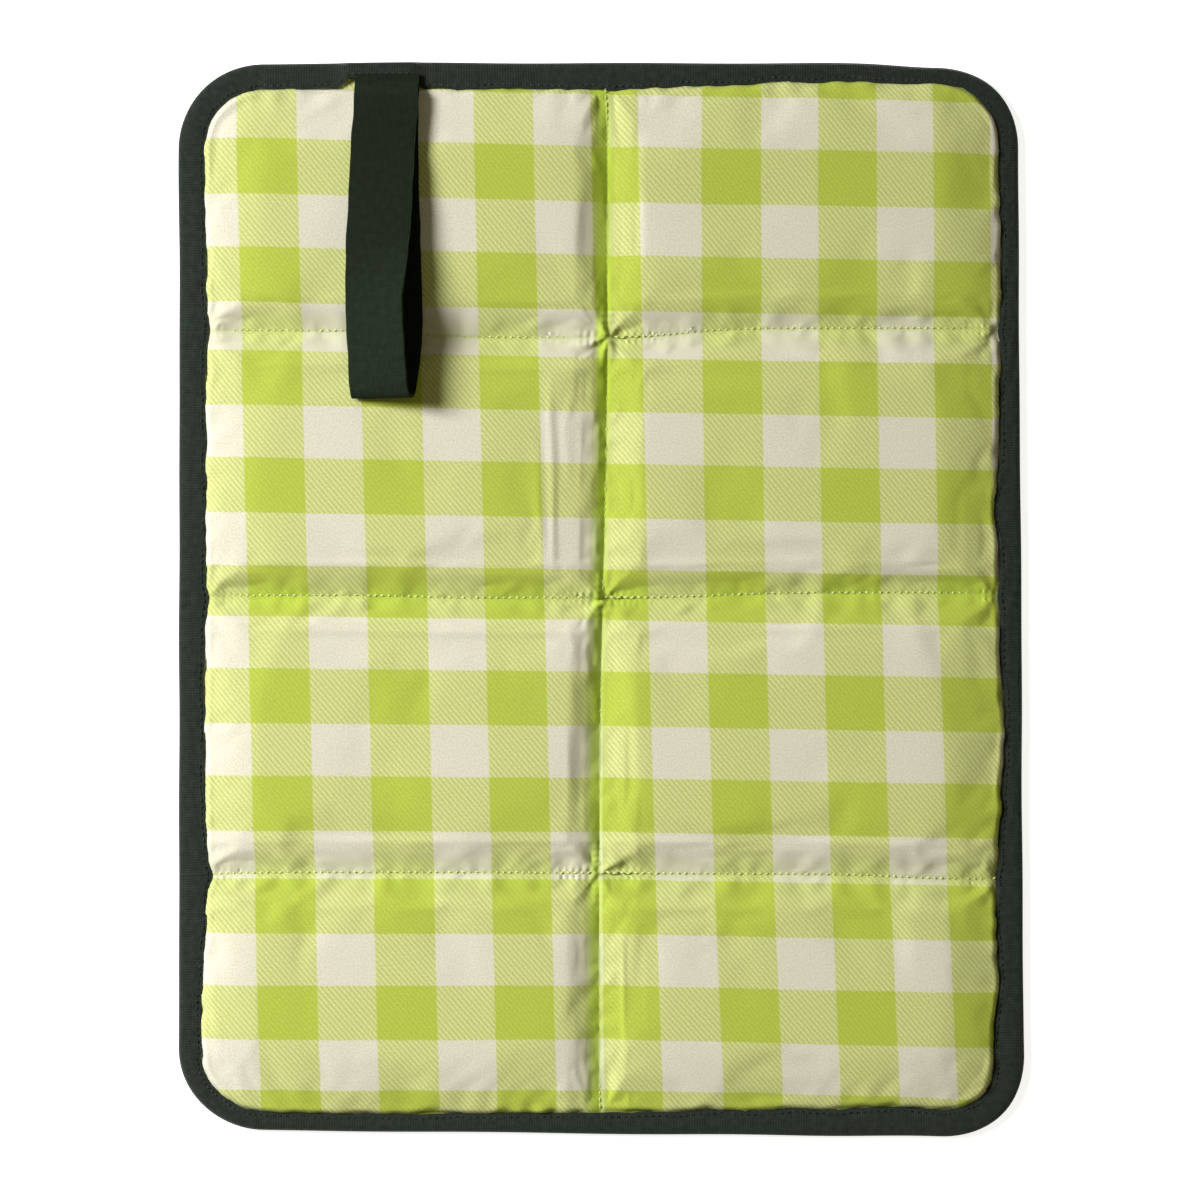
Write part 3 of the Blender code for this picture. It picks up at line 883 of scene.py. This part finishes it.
def add_strap(material):
    line = catmull([np.array(p) * MM for p in STRAP_SHAPE], STRAP_STEP)
    line[:, 1] = np.minimum(line[:, 1], STRAP_END_Y)
    tangent = np.gradient(line, axis=0)
    tangent[:, 0] = 0
    tangent /= np.linalg.norm(tangent, axis=1, keepdims=True)
    normal = np.stack([np.zeros(len(line)), -tangent[:, 2], tangent[:, 1]], axis=-1)
    run = np.concatenate([[0], np.cumsum(np.linalg.norm(np.diff(line, axis=0), axis=1))])
    across = np.linspace(-0.5, 0.5, STRAP_LINES)
    curl = 0.25 * MM * soft_noise(run[:, None], across[None, :] * 12 * MM, 51, 30 * MM)
    edge_wave = 0.18 * MM * soft_noise(run[:, None], np.sign(across)[None, :] * 0.01, 52, 12 * MM)
    twist_y, twist = np.array(STRAP_TWIST).T
    twist = np.interp(line[:, 1] / MM, twist_y, twist) * smoothstep((line[:, 2] - 11 * MM) / (3 * MM))
    x = STRAP_X + line[:, None, 0] + across[None, :] * STRAP_WIDTH * np.cos(twist)[:, None]
    x = x + edge_wave * (np.abs(across) > 0.45)
    points = line[:, None, :] + normal[:, None, :] * curl[:, :, None]
    points[:, :, 0] = x
    points[:, :, 2] += across[None, :] * STRAP_WIDTH * np.sin(twist)[:, None]
    faces = grid_faces(len(line), len(across))
    obj = mesh_object("elastic_strap", points, faces, material)
    sideways = across[None, :] * STRAP_WIDTH
    add_attribute(obj, "on_tape", np.stack(np.broadcast_arrays(sideways, run[:, None], 0.0), axis=-1))
    thicken(obj, STRAP_THICKNESS, offset=0.0)
    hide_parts("strap_loop")
    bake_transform(obj)


# ------------------------------ materials


class Nodes:
    """Short calls for building a material's node tree."""

    def __init__(self, name):
        self.material = bpy.data.materials.new(name)
        self.material.use_nodes = True
        self.tree = self.material.node_tree
        self.shader = self.tree.nodes["Principled BSDF"]

    def node(self, kind, **settings):
        made = self.tree.nodes.new(kind)
        for key, value in settings.items():
            setattr(made, key, value)
        return made

    def put(self, socket, value):
        if hasattr(value, "is_linked"):
            self.tree.links.new(value, socket)
        else:
            socket.default_value = value

    def look(self, name, value):
        """Sets one input of the material's shader."""
        self.put(self.shader.inputs[name], value)

    def math(self, operation, a, b=0.0, c=None):
        made = self.node("ShaderNodeMath", operation=operation)
        self.put(made.inputs[0], a)
        self.put(made.inputs[1], b)
        if c is not None:
            self.put(made.inputs[2], c)
        return made.outputs[0]

    def mix(self, factor, a, b):
        made = self.node("ShaderNodeMix", data_type="RGBA")
        self.put(made.inputs[0], factor)
        self.put(made.inputs[6], (*a, 1) if isinstance(a, tuple) else a)
        self.put(made.inputs[7], (*b, 1) if isinstance(b, tuple) else b)
        return made.outputs[2]

    def attribute(self, name):
        """The X, Y and Z of a vector stored on the mesh, and the vector."""
        made = self.node("ShaderNodeAttribute", attribute_name=name)
        parts = self.node("ShaderNodeSeparateXYZ")
        self.put(parts.inputs[0], made.outputs["Vector"])
        return parts.outputs[0], parts.outputs[1], parts.outputs[2], made.outputs["Vector"]

    def noise(self, vector, scale, detail=2.0):
        made = self.node("ShaderNodeTexNoise")
        self.put(made.inputs["Vector"], vector)
        self.put(made.inputs["Scale"], scale)
        self.put(made.inputs["Detail"], detail)
        return made.outputs["Fac"]

    def bump(self, height, distance, strength):
        made = self.node("ShaderNodeBump")
        self.put(made.inputs["Height"], height)
        self.put(made.inputs["Distance"], distance)
        self.put(made.inputs["Strength"], strength)
        return made.outputs[0]

    def wave(self, value, period):
        """A sine of the value, from 0 to 1."""
        turned = self.math("MULTIPLY_ADD", value, 2 * math.pi / period, 0.0)
        return self.math("MULTIPLY_ADD", self.math("SINE", turned), 0.5, 0.5)

    def stripe(self, value, start, width, period, soft):
        """1 inside the stripe that begins at start in every period, with soft sides."""
        local = self.math("FLOORED_MODULO", self.math("SUBTRACT", value, start), period)
        centred = self.math("ABSOLUTE", self.math("SUBTRACT", local, width / 2))
        other = self.math("SUBTRACT", period, centred)
        nearest = self.math("MINIMUM", centred, other)
        ramp = self.math("SUBTRACT", width / 2, nearest)
        return self.math("MULTIPLY_ADD", ramp, 1 / soft, 0.5)

    def clamp(self, value):
        made = self.node("ShaderNodeClamp")
        self.put(made.inputs[0], value)
        return made.outputs[0]


def srgb(red, green, blue):
    """Linear colour of an 8-bit display colour."""
    def linear(c):
        c = c / 255
        return c / 12.92 if c <= 0.04045 else ((c + 0.055) / 1.055) ** 2.4
    return (linear(red), linear(green), linear(blue))


# Colours of the checked cloth: undyed, dyed both ways, dyed one way, and a painted shade green for the
# seams' grooves.
WHITE = srgb(229, 225, 205)
GREEN_LIGHT = srgb(192, 207, 84)
GREEN_DARK = srgb(181, 198, 70)
MID_LIGHT = srgb(221, 225, 162)
MID_DARK = srgb(196, 205, 113)
# Painted shade: a deeper, more saturated green that stands in for the shade falling in the seams'
# grooves.
PAINTED_GROOVE_SHADE = srgb(190, 218, 58)

# The check's bands along U and V of the flat cloth.
CHECK_PERIOD_U = 42.05 * MM
CHECK_GREEN_U = 21.3 * MM
CHECK_START_U = -125.94 * MM
CHECK_PERIOD_V = 38.1 * MM
CHECK_GREEN_V = 19.5 * MM
CHECK_START_V = -197.1 * MM
CHECK_SOFTNESS = 0.4 * MM
TWILL_PERIOD = 1.5 * MM


def checked_cloth():
    n = Nodes("checked_cloth")
    u, v, groove_shade, on_cloth = n.attribute("on_cloth")
    wobble = n.math("MULTIPLY", n.math("SUBTRACT", n.noise(on_cloth, 260), 0.5), 0.5 * MM)
    wavy_u, wavy_v = n.math("ADD", u, wobble), n.math("ADD", v, wobble)
    column = n.clamp(n.stripe(wavy_u, CHECK_START_U, CHECK_GREEN_U, CHECK_PERIOD_U, CHECK_SOFTNESS))
    row = n.clamp(n.stripe(wavy_v, CHECK_START_V, CHECK_GREEN_V, CHECK_PERIOD_V, CHECK_SOFTNESS))
    both = n.math("MULTIPLY", column, row)
    either = n.math("MAXIMUM", column, row)
    diagonal = n.math("MULTIPLY_ADD", u, 0.77, n.math("MULTIPLY", v, 0.64))
    twill = n.wave(diagonal, TWILL_PERIOD)
    thin = n.clamp(n.math("MULTIPLY_ADD", n.math("SUBTRACT", twill, 0.5), 1.1, 0.5))
    colour = n.mix(either, WHITE, n.mix(thin, MID_LIGHT, MID_DARK))
    colour = n.mix(both, colour, n.mix(thin, GREEN_LIGHT, GREEN_DARK))
    # Painted shade: the grooves are tinted a deeper green, standing in for the shade that falls in
    # them.
    colour = n.mix(n.math("MULTIPLY", groove_shade, 0.85), colour, PAINTED_GROOVE_SHADE)
    grain = n.noise(on_cloth, 1500, 3)
    speckle = n.node("ShaderNodeMapRange")
    n.put(speckle.inputs["Value"], grain)
    for name, value in (("From Min", 0.3), ("From Max", 0.7), ("To Min", 0.84), ("To Max", 1.08)):
        n.put(speckle.inputs[name], value)
    scaled = n.node("ShaderNodeVectorMath", operation="SCALE")
    n.put(scaled.inputs[0], colour)
    n.put(scaled.inputs["Scale"], speckle.outputs[0])
    n.look("Base Color", scaled.outputs[0])
    fine = n.wave(diagonal, 0.66 * MM)
    weave = n.math("MULTIPLY_ADD", fine, 0.5, n.math("MULTIPLY", grain, 0.8))
    one_dyed = n.math("MULTIPLY", n.math("SUBTRACT", either, both), 0.5)
    weave = n.math("ADD", weave, n.math("MULTIPLY", twill, one_dyed))
    n.look("Normal", n.bump(weave, 0.12 * MM, 0.7))
    n.look("Roughness", 0.82)
    n.look("Sheen Weight", 0.15)
    n.look("Sheen Roughness", 0.5)
    n.look("Specular IOR Level", 0.25)
    return n.material


def underside_cloth():
    n = Nodes("underside_cloth")
    u, v, _, on_cloth = n.attribute("on_cloth")
    weave = n.math("MULTIPLY", n.wave(u, 0.9 * MM), n.wave(v, 0.9 * MM))
    wear = n.noise(on_cloth, 60, 4)
    colour = n.mix(wear, srgb(34, 48, 38), srgb(48, 62, 50))
    n.look("Base Color", colour)
    n.look("Normal", n.bump(weave, 0.15 * MM, 0.8))
    n.look("Roughness", n.math("MULTIPLY_ADD", wear, 0.2, 0.45))
    return n.material


def ribbed_tape(name, dark, light, rib, cross, sheen):
    """Woven tape: ribs across its length, and rows of picks along it."""
    n = Nodes(name)
    along, across, _, on_tape = n.attribute("on_tape")
    ribs = n.wave(along, rib)
    picks = n.wave(across, cross)
    fuzz = n.noise(on_tape, 2200, 2)
    mottled = n.noise(on_tape, 420, 3)
    height = n.math("ADD", n.math("MULTIPLY", ribs, picks), n.math("MULTIPLY", fuzz, 0.5))
    tone = n.clamp(n.math("MULTIPLY_ADD", height, 0.6, n.math("MULTIPLY_ADD", mottled, 0.7, -0.24)))
    n.look("Base Color", n.mix(tone, dark, light))
    n.look("Normal", n.bump(height, 0.16 * MM, 0.8))
    n.look("Roughness", 0.85)
    n.look("Sheen Weight", sheen)
    n.look("Specular IOR Level", 0.15)
    return n.material


def thread(name, dark, light):
    n = Nodes(name)
    place = n.node("ShaderNodeTexCoord").outputs["Object"]
    twist = n.noise(place, 3500, 2)
    n.look("Base Color", n.mix(twist, dark, light))
    n.look("Normal", n.bump(twist, 0.06 * MM, 0.6))
    n.look("Roughness", 0.6)
    return n.material


def foam():
    n = Nodes("foam_cells")
    place = n.node("ShaderNodeTexCoord").outputs["Object"]
    cells = n.node("ShaderNodeTexVoronoi")
    n.put(cells.inputs["Vector"], place)
    n.put(cells.inputs["Scale"], 900.0)
    depth = cells.outputs["Distance"]
    n.look("Base Color", n.mix(depth, (0.86, 0.86, 0.84), (0.7, 0.7, 0.68)))
    n.look("Normal", n.bump(depth, 0.2 * MM, 0.5))
    n.look("Roughness", 0.7)
    return n.material


# ------------------------------ stage


KEY_LIGHT = {
    "name": "key", "place": (-1.12, 0.46, 0.885), "size": 0.56, "power": 11.1,
    "colour": (1.0, 1.0, 1.0), "aim": (0.32, -0.48, 0.0), "spread": 100,
}
FILL_LIGHT = {
    "name": "fill", "place": (0.8, -0.5, 1.5), "size": 1.6, "power": 1.5,
    "colour": (1.0, 0.90, 0.55), "aim": (0.0, 0.0, 0.0), "spread": 180,
}
WORLD_COLOUR = (1.0, 0.92, 0.58, 1)
WORLD_STRENGTH = 0.10
CAMERA_PLACE = (-0.7 * MM, 0.0, 1.184)
FLOOR_HEIGHT = -0.3 * MM
FLOOR_REACH = 3.0


def add_floor():
    n = Nodes("floor")
    tint = n.noise(n.node("ShaderNodeTexCoord").outputs["Object"], 3, 2)
    n.look("Base Color", n.mix(tint, (0.93, 0.93, 0.93), (0.95, 0.95, 0.95)))
    n.look("Roughness", 0.9)
    n.look("Specular IOR Level", 0.1)
    n.look("Emission Color", (1, 1, 1, 1))
    n.look("Emission Strength", 0.8)
    signs = ((-1, -1), (1, -1), (1, 1), (-1, 1))
    corners = [(a * FLOOR_REACH, b * FLOOR_REACH, FLOOR_HEIGHT) for a, b in signs]
    mesh_object("floor", corners, [(0, 1, 2, 3)], n.material)


def add_light(name, place, size, power, colour, aim, spread):
    light = bpy.data.lights.new(name, "AREA")
    light.shape = "DISK"
    light.size = size
    light.energy = power
    light.color = colour
    light.spread = math.radians(spread)
    obj = add_object(name, light)
    obj.location = place
    obj.rotation_euler = (Vector(aim) - Vector(place)).to_track_quat("-Z", "Y").to_euler()


def add_camera():
    camera = bpy.data.cameras.new("camera")
    camera.lens = 100
    camera.sensor_width = 36
    obj = add_object("camera", camera)
    obj.location = CAMERA_PLACE
    bpy.context.scene.camera = obj


def add_stage():
    add_floor()
    for light in (KEY_LIGHT, FILL_LIGHT):
        add_light(**light)
    world = bpy.data.worlds.new("studio")
    bpy.context.scene.world = world
    world.use_nodes = True
    background = world.node_tree.nodes["Background"]
    background.inputs["Color"].default_value = WORLD_COLOUR
    background.inputs["Strength"].default_value = WORLD_STRENGTH
    bpy.context.scene.view_settings.view_transform = "Standard"
    add_camera()


def main():
    add_stage()
    light_thread = thread("light_thread", srgb(188, 205, 104), srgb(218, 228, 158))
    dark_thread = thread("dark_thread", srgb(12, 18, 13), srgb(36, 44, 36))
    tape = ribbed_tape("edge_tape", srgb(9, 17, 13), srgb(60, 71, 61), 0.9 * MM, 0.55 * MM, sheen=0.18)
    elastic = ribbed_tape("elastic", srgb(10, 18, 9), srgb(38, 50, 35), 1.0 * MM, 0.8 * MM, sheen=0.0)
    checked, plain = checked_cloth(), underside_cloth()
    add_top_covers(checked)
    add_underside(plain)
    add_seam_bridges(checked, plain, tape)
    add_tape(tape)
    add_seam_stitches(light_thread)
    add_tape_stitches(dark_thread)
    add_strap(elastic)
    sewn_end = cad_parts["strap_sewn_end"].data
    sewn_end.materials.clear()
    sewn_end.materials.append(elastic)
    add_foam(foam())


main()
